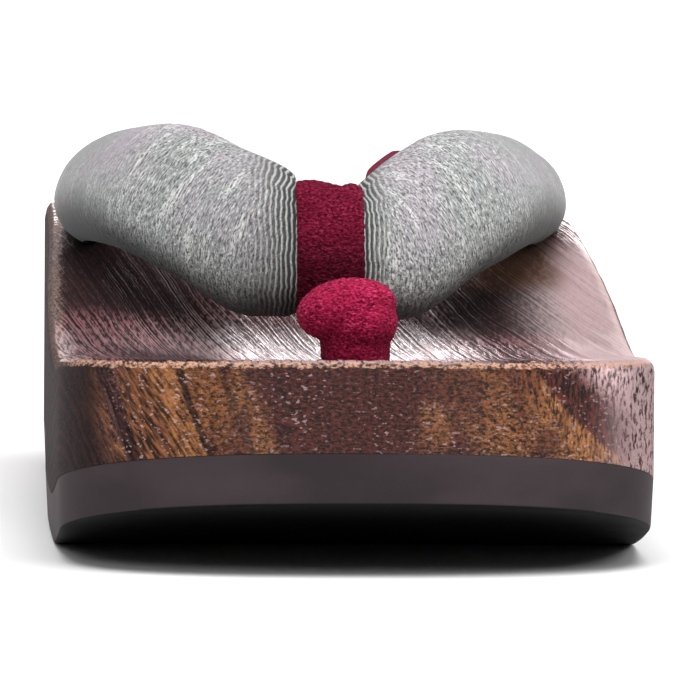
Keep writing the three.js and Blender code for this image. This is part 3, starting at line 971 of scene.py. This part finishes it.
def cord_material(finish):
    """Dark cotton cord."""
    shader = Shader("cord_twisted")
    twist = shader.noise("twist", turn=(0.5, 0, 0.6))
    strands = shader.ramp(twist, 0.35, 0.65)
    shader.set(
        Base_Color=shader.mix(strands, shade_of(finish.cord, 0.5), shade_of(finish.cord, 2.6)),
        Roughness=0.9,
        Normal=shader.bump(twist, 0.0004, 0.8),
    )
    return shader.material


# Pieces


SHARP = math.radians(40)
PEG_SIDES = 48


def make_piece(context, bm, node, dress, material):
    """Turns a bmesh into a piece that stands for a CAD node."""
    name = f"{node}_{dress}"
    mesh = bpy.data.meshes.new(name)
    bm.to_mesh(mesh)
    bm.free()
    mesh.shade_smooth()
    mesh.set_sharp_from_angle(angle=SHARP)
    mesh.materials.append(material)
    piece = bpy.data.objects.new(name, mesh)
    context.scene.collection.objects.link(piece)
    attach(piece, BODY)
    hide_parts(node)
    return piece


def settle(context, piece):
    """Applies a piece's modifiers to its mesh."""
    context.view_layer.update()
    graph = context.evaluated_depsgraph_get()
    mesh = bpy.data.meshes.new_from_object(piece.evaluated_get(graph), depsgraph=graph)
    piece.modifiers.clear()
    old = piece.data
    piece.data = mesh
    bpy.data.meshes.remove(old)
    mesh.name = piece.name


def peg(context, name, side, y, radius, high):
    """An upright peg from the floor that bores a hole."""
    bm = bmesh.new()
    bmesh.ops.create_cone(
        bm,
        cap_ends=True,
        segments=PEG_SIDES,
        radius1=radius,
        radius2=radius,
        depth=high,
        matrix=Matrix.Translation((side, y, high / 2)),
    )
    mesh = bpy.data.meshes.new(name)
    bm.to_mesh(mesh)
    bm.free()
    made = bpy.data.objects.new(name, mesh)
    context.scene.collection.objects.link(made)
    return made


def bore(context, piece, pegs):
    """Takes pegs out of a piece and throws them away."""
    for made in pegs:
        cut = piece.modifiers.new(made.name, "BOOLEAN")
        cut.operation = "DIFFERENCE"
        cut.solver = "EXACT"
        cut.object = made
    settle(context, piece)
    for made in pegs:
        mesh = made.data
        bpy.data.objects.remove(made)
        bpy.data.meshes.remove(mesh)


# Quads round the rim and down the wall, and the height that the holes' pegs reach.
RIM_LAYERS = 4
WALL_LAYERS = 9
BORE_TOP = 0.06

# Raised grain: pitches from one line to the next, its waves in lines and metres along, and the
# sway of the growth rings.
LINE_PITCHES = 2.6
RAISED = Wave(1, 22, 4.2, 1.8)
RING_SWAY = Wave(30, 9, 1.7, 0.0022)


def ring_distance(sizes, point):
    """Distance of a point from the tree's heart, which the growth rings go round."""
    heart = PITH[0] - GRAIN_TURN * (point.y + sizes.length / 2)
    sway = ripple(RING_SWAY, point.x, point.y)
    return math.hypot(point.x - heart, point.z - PITH[1]) + sway


class GETA_OT_wood_base(Operator):
    """Make the lacquered wooden base with its raised grain and holes"""

    bl_idname = "geta.wood_base"
    bl_label = "Wood base"

    columns: IntProperty(name="Columns", description="Quads across the foot bed", default=300)
    rows: IntProperty(name="Rows", description="Quads along the foot bed", default=90)

    def wood_point(self, sizes, vert):
        layer = round(-vert.co.z)
        across, along = vert.co.x, (vert.co.y + 1) / 2
        turn = math.pi / 2 * min(layer / RIM_LAYERS, 1.0)
        side, back = plan_point(sizes, across, along, 0.0, sizes.length, 0.0)
        radius = edge_radius(sizes, back)
        inset = radius * (1 - math.sin(turn))
        side, back = plan_point(sizes, across, along, 0.0, sizes.length, inset)
        top = bed_at(sizes, side, back) - radius * (1 - math.cos(turn))
        low = wood_underside(sizes, back)
        share = max(0, layer - RIM_LAYERS) / WALL_LAYERS
        point = Vector((side, back - sizes.length / 2, blend(top, low, share)))
        reach = ring_distance(sizes, point) / (LINE_PITCHES * sizes.grain_pitch)
        line = ripple(RAISED, reach, point.y)
        fade = 1 - smoothstep(layer, RIM_LAYERS - 1, RIM_LAYERS + 1)
        point.z += sizes.grain_height * line * fade
        return point

    def execute(self, context):
        sizes = context.scene.geta_sizes
        bm = layered_block(self.columns, self.rows, RIM_LAYERS + WALL_LAYERS)
        for vert in bm.verts:
            vert.co = self.wood_point(sizes, vert)
        material = Wood(sizes, context.scene.geta_finish).material
        piece = make_piece(context, bm, "wood_base", "lacquered", material)
        toe = -sizes.length / 2
        y = toe + sizes.arm_hole_back
        recess = wood_underside(sizes, sizes.arm_hole_back) + sizes.recess_depth
        front = toe + sizes.toe_hole_back
        pegs = [peg(context, "toe_hole", 0.0, front, sizes.toe_hole_radius, BORE_TOP)]
        for side in (-sizes.arm_hole_side, sizes.arm_hole_side):
            pegs.append(peg(context, "arm_hole", side, y, sizes.arm_hole_radius, BORE_TOP))
            pegs.append(peg(context, "knot_recess", side, y, sizes.recess_radius, recess))
        bore(context, piece, pegs)
        return {"FINISHED"}


class GETA_OT_rubber_soles(Operator):
    """Make the rubber soles under the front and the heel"""

    bl_idname = "geta.rubber_soles"
    bl_label = "Rubber soles"

    columns: IntProperty(name="Columns", description="Quads across a sole", default=72)
    rows: IntProperty(name="Rows", description="Quads along a sole", default=56)
    clearance: metres("Clearance", "Glue line under the wood", 0.00003)

    def sole_point(self, sizes, vert, start, end):
        wall = SOLE_WALL[round(-vert.co.z)]
        along = (vert.co.y + 1) / 2
        side, back = plan_point(sizes, vert.co.x, along, start, end, wall.inset * MM)
        height = (sizes.rubber - self.clearance) * wall.share
        return Vector((side, back - sizes.length / 2, tread_height(sizes, back) + height))

    def execute(self, context):
        sizes = context.scene.geta_sizes
        material = rubber_material(context.scene.geta_finish)
        spans = {
            "front_sole": (0.0, sizes.front_sole_end),
            "heel_sole": (sizes.heel_sole_start, sizes.length),
        }
        for node, (start, end) in spans.items():
            bm = layered_block(self.columns, self.rows, len(SOLE_WALL) - 1)
            for vert in bm.verts:
                vert.co = self.sole_point(sizes, vert, start, end)
            make_piece(context, bm, node, "rubber", material)
        return {"FINISHED"}


# Values kept with the cover's points: the rib's height, how near the loop is, how calm the cloth
# is towards the holes, and its shade.
COVER_VALUES = ("rib", "near", "calm", "shade")

# How far the ribs go past the loop on the big toe's side and on the other, in metres.
INNER_RIBS = 0.0115
OUTER_RIBS = 0.0068

# Where the cloth calms and darkens with painted shade towards the holes, and where it swells and
# sags by the loop.
CALM = (0.042, 0.078)
DARKER_END = (0.05, 0.095)
PUFF = (-0.0003, 0.0012, 0.002, 0.008)
SAG = (0.003, 0.008, 0.014, 0.034)

# Wander of the ribs, and crinkles and lumps of the cloth, along the strap and round it.
RIB_WANDERS = (Wave(130, 430, 2.0, 0.4), Wave(500, 1000, 7.0, 0.24))
CRINKLES = Wave(1600, 620, 5.0, 0.0003)
LUMPS = Wave(70, 60, 3.0, 0.00035)

# A rib's sharpness and mean height, and how much of the crinkle the ribs and the calm take away.
RIB_SHARPNESS = 2.2
RIB_MEAN = 0.3
SMOOTHED = 0.8

# Shade under the strap and towards the holes, and where it starts below by the loop and far out.
UNDER_SHADE = 0.12
END_SHADE = 0.78
UNDER_STARTS = (0.55, 0.2)


class GETA_OT_strap_cover(Operator):
    """Make the padded crepe strap with its ribs"""

    bl_idname = "geta.strap_cover"
    bl_label = "Strap cover"

    rings: IntProperty(name="Rings", description="Quads along the strap", default=1100)
    around: IntProperty(name="Around", description="Quads round the strap", default=88)
    back_share: FloatProperty(
        name="Back share",
        description="Share of the ring behind the seam",
        default=0.14,
        subtype="FACTOR",
    )
    girth: metres("Girth", "Width of the cloth round the strap", 0.034)
    bend: metres("Bend", "Ribs' bend to the loop's top", 0.0016)
    puff: metres("Puff", "Swell of the crown beside the loop", 0.0003)
    sag: metres("Sag", "Sag of the big toe's arm beside the loop", 0.0013)

    def relief(self, sizes, reach, beside, girth, upper):
        """Height of the cloth's ribs and crinkles, with the values that go with it."""
        past = beside - sizes.loop_width / 2
        wander = sum(ripple(wave, beside, girth) for wave in RIB_WANDERS)
        phase = (past + self.bend * max(upper, 0.0) ** 4) / sizes.rib_pitch + wander
        rib = (0.5 + 0.5 * math.cos(2 * math.pi * phase)) ** RIB_SHARPNESS
        near = 1 - smoothstep(past, 0.0, INNER_RIBS if reach < 0 else OUTER_RIBS)
        calm = smoothstep(abs(reach), *CALM)
        crinkle = ripple(CRINKLES, reach, girth) * (1 - SMOOTHED * near) * (1 - SMOOTHED * calm)
        height = sizes.rib_height * (rib - RIB_MEAN) * near
        height += crinkle + ripple(LUMPS, reach, girth)
        return height, rib, near**1.4, calm

    def face_point(self, sizes, at, reach, turn):
        """A point of the cover's outer face with its values."""
        place = strap_frame(sizes.strap_shift, sizes.length, at)
        upper = math.cos(turn)
        point, out = outer_section(place, turn, 0.0)
        beside = abs(point.x - sizes.strap_shift)
        past = beside - sizes.loop_width / 2
        point = outer_section(place, turn, -pressed_in(sizes, beside))[0]
        girth = turn / math.pi * self.girth
        height, rib, near, calm = self.relief(sizes, reach, beside, girth, upper)
        point += out * height * max(math.sin(turn), 0.0) ** 0.4
        if reach < 0:
            point += out * self.puff * hump(past, *PUFF) * max(upper, 0.0) ** 2
            point.z -= self.sag * hump(-reach, *SAG) * max(-upper, 0.0) ** 2
        # Painted shade towards the strap's lower edge and towards the holes.
        under = smoothstep(-upper, blend(*UNDER_STARTS, calm), 1.0)
        far = smoothstep(abs(reach), *DARKER_END)
        shade = blend(1.0, UNDER_SHADE, under) * blend(1.0, END_SHADE, far)
        return point, (rib, near, calm, shade)

    def execute(self, context):
        sizes = context.scene.geta_sizes
        stations = strap_stations(sizes.strap_shift, sizes.length, LAST_ROW, self.rings)
        outer = 1 - self.back_share

        def cover_point(share, along):
            at, reach = stations[round(along * self.rings)]
            if share <= outer:
                return self.face_point(sizes, at, reach, math.pi * share / outer)
            low, high = (self.face_point(sizes, at, reach, turn)[0] for turn in (math.pi, 0.0))
            return low.lerp(high, (share - outer) / self.back_share), ()

        def cloth_place(share, along):
            return share / outer * self.girth, stations[round(along * self.rings)][1]

        bm = tube_grid(
            self.around, self.rings, cover_point, COVER_VALUES, uv_rule=cloth_place, weld=1e-6
        )
        material = crepe_material(context.scene.geta_finish, self.girth)
        piece = make_piece(context, bm, "strap_cover", "crepe", material)
        return {"FINISHED"}


# Share of the lining's ring on the foot's side, the gap that it keeps from the cover's seam, its
# nap along the strap and round the ring, and the place beside the loop where it shows past the arm.
LINING_FACE = 0.72
LINING_GAP = 0.00012
LINING_NAP = Wave(500, 40, 1.0, 0.00012)
WEDGE = (0.0135, 0.016, 0.0195, 0.023)


class GETA_OT_strap_lining(Operator):
    """Make the velvet lining on the foot's side of the strap"""

    bl_idname = "geta.strap_lining"
    bl_label = "Strap lining"

    rings: IntProperty(name="Rings", description="Quads along the lining", default=420)
    around: IntProperty(name="Around", description="Quads round the lining", default=28)
    inset: metres("Inset", "How far the lining stays behind the cover's edge", 0.0007)
    peek: metres("Peek", "How far it rises past the outer arm near the loop", 0.0007)

    def execute(self, context):
        sizes = context.scene.geta_sizes
        stations = strap_stations(sizes.strap_shift, sizes.length, LINING_END, self.rings)

        def lining_point(share, along):
            at, reach = stations[round(along * self.rings)]
            place = strap_frame(sizes.strap_shift, sizes.length, at)
            beside = abs(place.middle.x - sizes.strap_shift)
            pressed = pressed_in(sizes, beside)
            level = (SEAM - 0.5) * place.thick - LINING_GAP
            depth = SEAM * place.thick - LINING_GAP - pressed
            if share > LINING_FACE:
                across = blend(1, -1, (share - LINING_FACE) / (1 - LINING_FACE))
                lift = 0.0
            else:
                turn = math.pi * (1 + share / LINING_FACE)
                across = signed_power(math.cos(turn), EDGE_FULLNESS)
                bulge = max(-math.sin(turn), 0.0)
                lift = -depth * bulge**FOOT_FULLNESS
                lift += bulge * ripple(LINING_NAP, reach, share)
            half = place.width / 2 - self.inset - pressed
            if reach > 0 and across > 0:
                half += (self.inset + self.peek) * hump(beside, *WEDGE)
            return place.middle + place.across * across * half + place.normal * (level + lift), ()

        bm = tube_grid(self.around, self.rings, lining_point)
        finish = context.scene.geta_finish
        # Lining's middle tone lightened with a painted sheen.
        material = velvet_material("lining_pile", finish.velvet, finish.lining, finish.velvet_light)
        piece = make_piece(context, bm, "strap_lining", "velvet", material)
        return {"FINISHED"}


# Rolls of velvet under the loop: place across, back from the toe tip and up, half sizes, lean in
# degrees, and quads round and up.
Roll = namedtuple("Roll", "side back height radii lean around up")
ROLLS = [
    Roll(-0.0008, 0.0448, 0.0368, (0.0076, 0.0060, 0.0047), -10, 48, 32),
    Roll(0.0012, 0.0444, 0.0350, (0.0057, 0.0059, 0.0050), 0, 40, 28),
    Roll(-0.0020, 0.0505, 0.0372, (0.0046, 0.0040, 0.0040), 0, 32, 24),
]

# Post down the toe hole: its middle, its radii below and above, and its length.
Post = namedtuple("Post", "side back height low high length")
POST = Post(0.0006, 0.0449, 0.0285, 0.0046, 0.0056, 0.017)

# Groove over the loop's crown: its place and width across, its depth, and the crown's swell.
Groove = namedtuple("Groove", "across width depth swell")
GROOVE = Groove(0.25, 0.22, 0.001, 0.0009)
CROWN = (0.2, 0.9)

# Half the loop's reach in stations of the strap, the fullness of its section, and tufts per metre.
LOOP_STATIONS = 0.4
LOOP_FULLNESS = (0.5, 0.7)
TUFTS = (1500, 1500, 2400)


class GETA_OT_toe_thong(Operator):
    """Make the velvet loop round the strap and its post in the toe hole"""

    bl_idname = "geta.toe_thong"
    bl_label = "Toe thong"

    around: IntProperty(name="Around", description="Quads round the loop's section", default=40)
    along: IntProperty(name="Along", description="Quads along the loop", default=96)
    voxel: metres("Voxel", "Size that fuses the folds", 0.00026)
    nap: metres("Nap", "Height of the pile", 0.00022)

    def loop_band(self, sizes):
        """A band with soft edges and a groove over its crown, swept round the strap."""

        def band_point(share, along):
            edge = 2 * math.pi * share
            across = signed_power(math.cos(edge), LOOP_FULLNESS[0])
            out = 0.5 + 0.5 * signed_power(math.sin(edge), LOOP_FULLNESS[1])
            turn = 2 * math.pi * along
            place = strap_frame(sizes.strap_shift, sizes.length, across * LOOP_STATIONS)
            crown = smoothstep(place.across.z * math.cos(turn), *CROWN)
            dip = math.exp(-(((across - GROOVE.across) / GROOVE.width) ** 2))
            swell = sizes.loop_thickness - sizes.loop_sink
            swell += crown * (GROOVE.swell - GROOVE.depth * dip)
            point = ring_section(place, turn, blend(-sizes.loop_sink, swell, out))[0]
            point.x = sizes.strap_shift + across * sizes.loop_width / 2
            return point, ()

        return tube_grid(self.around, self.along, band_point, cap=False)

    def execute(self, context):
        sizes = context.scene.geta_sizes
        toe = -sizes.length / 2
        bm = self.loop_band(sizes)
        for roll in ROLLS:
            place = Matrix.Translation((roll.side, toe + roll.back, roll.height))
            place @= Matrix.Rotation(math.radians(roll.lean), 4, "Y")
            place @= Matrix.Diagonal((*roll.radii, 1))
            bmesh.ops.create_uvsphere(
                bm, u_segments=roll.around, v_segments=roll.up, radius=1, matrix=place
            )
        bmesh.ops.create_cone(
            bm,
            cap_ends=True,
            segments=PEG_SIDES,
            radius1=POST.low,
            radius2=POST.high,
            depth=POST.length,
            matrix=Matrix.Translation((POST.side, toe + POST.back, POST.height)),
        )
        finish = context.scene.geta_finish
        tones = finish.velvet_dark, finish.velvet, finish.velvet_light
        material = velvet_material("velvet_pile", *tones)
        piece = make_piece(context, bm, "toe_thong", "velvet", material)
        fuse = piece.modifiers.new("fuse", "REMESH")
        fuse.mode = "VOXEL"
        fuse.voxel_size = self.voxel
        soften = piece.modifiers.new("soften", "SMOOTH")
        soften.factor = 0.5
        soften.iterations = 5
        settle(context, piece)
        ways = [vert.normal.copy() for vert in piece.data.vertices]
        for vert, way in zip(piece.data.vertices, ways):
            tuft = noise.noise(Vector([value * tufts for value, tufts in zip(vert.co, TUFTS)]))
            vert.co += way * self.nap * tuft
        piece.data.shade_smooth()
        return {"FINISHED"}


# Share of a tail that is its knot, its roundness, and the lay of its strands: their number, turn per
# metre and depth. The clearance keeps the tail off the recess and inside the strap's end.
KNOT_SHARE = 0.6
KNOT_ROUNDNESS = 0.75
STRANDS = 3
LAY_TURN = 900
LAY_DEPTH = 0.1
KNOT_CLEARANCE = 0.0003


class GETA_OT_strap_knots(Operator):
    """Make the knotted cord tails under the base"""

    bl_idname = "geta.strap_knots"
    bl_label = "Strap knots"

    around: IntProperty(name="Around", description="Quads round a tail", default=40)
    along: IntProperty(name="Along", description="Quads along a tail", default=60)
    radius: metres("Radius", "Half the knot's width", 0.006)
    height: metres("Height", "Knot's height", 0.007)
    stem: metres("Stem", "Half the cord's width", 0.0033)

    def execute(self, context):
        sizes = context.scene.geta_sizes
        material = cord_material(context.scene.geta_finish)
        y = sizes.arm_hole_back - sizes.length / 2
        top = ARM[LAST_ROW].height * MM - KNOT_CLEARANCE
        recess = wood_underside(sizes, sizes.arm_hole_back) + sizes.recess_depth
        low = recess - KNOT_CLEARANCE - self.height

        def knot_point(side, share, along):
            knot = min(along / KNOT_SHARE, 1.0)
            height = low + knot * self.height
            ball = self.radius * math.sin(math.pi * knot) ** KNOT_ROUNDNESS
            radius = max(ball, self.stem if knot > 0.5 else 0.0)
            if along > KNOT_SHARE:
                height = blend(height, top, (along - KNOT_SHARE) / (1 - KNOT_SHARE))
                radius = self.stem
            turn = 2 * math.pi * share
            radius *= 1 + LAY_DEPTH * math.cos(STRANDS * turn + height * LAY_TURN)
            radius = max(radius, 1e-5)
            return Vector((side + radius * math.cos(turn), y + radius * math.sin(turn), height)), ()

        sides = {
            "inner_strap_knot": -sizes.arm_hole_side,
            "outer_strap_knot": sizes.arm_hole_side,
        }
        for node, side in sides.items():
            bm = tube_grid(self.around, self.along, partial(knot_point, side))
            make_piece(context, bm, node, "cord", material)
        return {"FINISHED"}


# Place that the lamps shine on, the way of the light above, and half the floor's width.
LIGHTS_AIM = (0.0, -0.05, 0.04)
OVERHEAD_WAY = (-0.05, 0.3, -1.0)
FLOOR_HALF = 9
WHITE = (1.0, 1.0, 1.0)


def turned(way):
    """The turn of a lamp that shines along a way."""
    return Vector(way).to_track_quat("-Z", "Y").to_euler()


class GETA_OT_stage(Operator):
    """Make the studio floor, the lights and the camera"""

    bl_idname = "geta.stage"
    bl_label = "Stage"

    def add_floor(self, scene, stage):
        bm = bmesh.new()
        bmesh.ops.create_grid(bm, x_segments=8, y_segments=8, size=FLOOR_HALF)
        mesh = bpy.data.meshes.new("studio_floor")
        bm.to_mesh(mesh)
        bm.free()
        floor = bpy.data.objects.new("studio_floor", mesh)
        scene.collection.objects.link(floor)
        pale = Shader("studio_floor")
        pale.set(Base_Color=stage.floor_colour, Roughness=0.7, Specular_IOR_Level=0.1)
        mesh.materials.append(pale.material)

    def add_lamp(self, scene, name, place, size, energy, tint=WHITE):
        light = bpy.data.lights.new(name, "AREA")
        light.shape = "RECTANGLE"
        light.size, light.size_y = size
        light.energy = energy
        light.color = tint
        lamp = bpy.data.objects.new(name, light)
        lamp.location = place
        lamp.rotation_euler = turned(Vector(LIGHTS_AIM) - Vector(place))
        scene.collection.objects.link(lamp)

    def add_lights(self, scene, stage):
        world = bpy.data.worlds.new("studio")
        world.use_nodes = True
        sky = world.node_tree.nodes["Background"]
        sky.inputs["Color"].default_value = (*WHITE, 1.0)
        sky.inputs["Strength"].default_value = stage.sky
        scene.world = world
        scene.view_settings.view_transform = "Standard"
        self.add_lamp(scene, "front_light", (-0.7, -1.5, 1.0), (0.6, 0.6), stage.key)
        self.add_lamp(scene, "side_light", (1.2, -0.6, 1.0), (0.6, 0.6), stage.side)
        self.add_lamp(
            scene, "back_light", (0.0, 2.2, 0.29), (3.2, 0.5), stage.behind, stage.behind_tint
        )
        above = bpy.data.lights.new("overhead_light", "SUN")
        above.energy = stage.overhead
        above.angle = stage.spread
        sun = bpy.data.objects.new("overhead_light", above)
        sun.rotation_euler = turned(OVERHEAD_WAY)
        scene.collection.objects.link(sun)

    def add_camera(self, scene, stage, sizes):
        rim = Vector((0.0, -sizes.length / 2, bed_height(0.0)))
        back = way_out(stage.azimuth, stage.elevation)
        right = Vector((math.cos(stage.azimuth), math.sin(stage.azimuth), 0.0))
        target = rim + right * stage.aim_side + back.cross(right) * stage.aim_up
        eye = rim + back * stage.distance
        back = (eye - target).normalized()
        right = Vector((0, 0, 1)).cross(back).normalized()
        axes = Matrix((right, back.cross(right), back)).transposed()
        axes @= Matrix.Rotation(stage.roll, 3, "Z")
        camera = bpy.data.cameras.new("camera")
        camera.sensor_width = 36.0
        camera.lens = stage.lens
        camera.clip_start = 0.05
        camera.clip_end = 60.0
        view = bpy.data.objects.new("camera", camera)
        view.matrix_world = Matrix.Translation(eye) @ axes.to_4x4()
        scene.collection.objects.link(view)
        scene.camera = view

    def execute(self, context):
        scene = context.scene
        self.add_floor(scene, scene.geta_stage)
        self.add_lights(scene, scene.geta_stage)
        self.add_camera(scene, scene.geta_stage, scene.geta_sizes)
        return {"FINISHED"}


class GETA_PT_sandal(Panel):
    """Lists the sandal's pieces"""

    bl_idname = "GETA_PT_sandal"
    bl_label = "Geta sandal"
    bl_space_type = "VIEW_3D"
    bl_region_type = "UI"
    bl_category = "Geta"

    def draw(self, context):
        for operator in PIECES:
            self.layout.operator(operator.bl_idname)


PIECES = (
    GETA_OT_stage,
    GETA_OT_wood_base,
    GETA_OT_rubber_soles,
    GETA_OT_strap_cover,
    GETA_OT_strap_lining,
    GETA_OT_toe_thong,
    GETA_OT_strap_knots,
)
CLASSES = (GetaSizes, GetaFinish, GetaStage, *PIECES, GETA_PT_sandal)


def register():
    for item in CLASSES:
        bpy.utils.register_class(item)
    bpy.types.Scene.geta_sizes = PointerProperty(type=GetaSizes)
    bpy.types.Scene.geta_finish = PointerProperty(type=GetaFinish)
    bpy.types.Scene.geta_stage = PointerProperty(type=GetaStage)


def unregister():
    del bpy.types.Scene.geta_stage
    del bpy.types.Scene.geta_finish
    del bpy.types.Scene.geta_sizes
    for item in reversed(CLASSES):
        bpy.utils.unregister_class(item)


def main():
    register()
    bpy.ops.geta.stage()
    bpy.ops.geta.wood_base()
    bpy.ops.geta.rubber_soles()
    bpy.ops.geta.strap_cover()
    bpy.ops.geta.strap_lining()
    bpy.ops.geta.toe_thong()
    bpy.ops.geta.strap_knots()


if __name__ == "__main__":
    main()
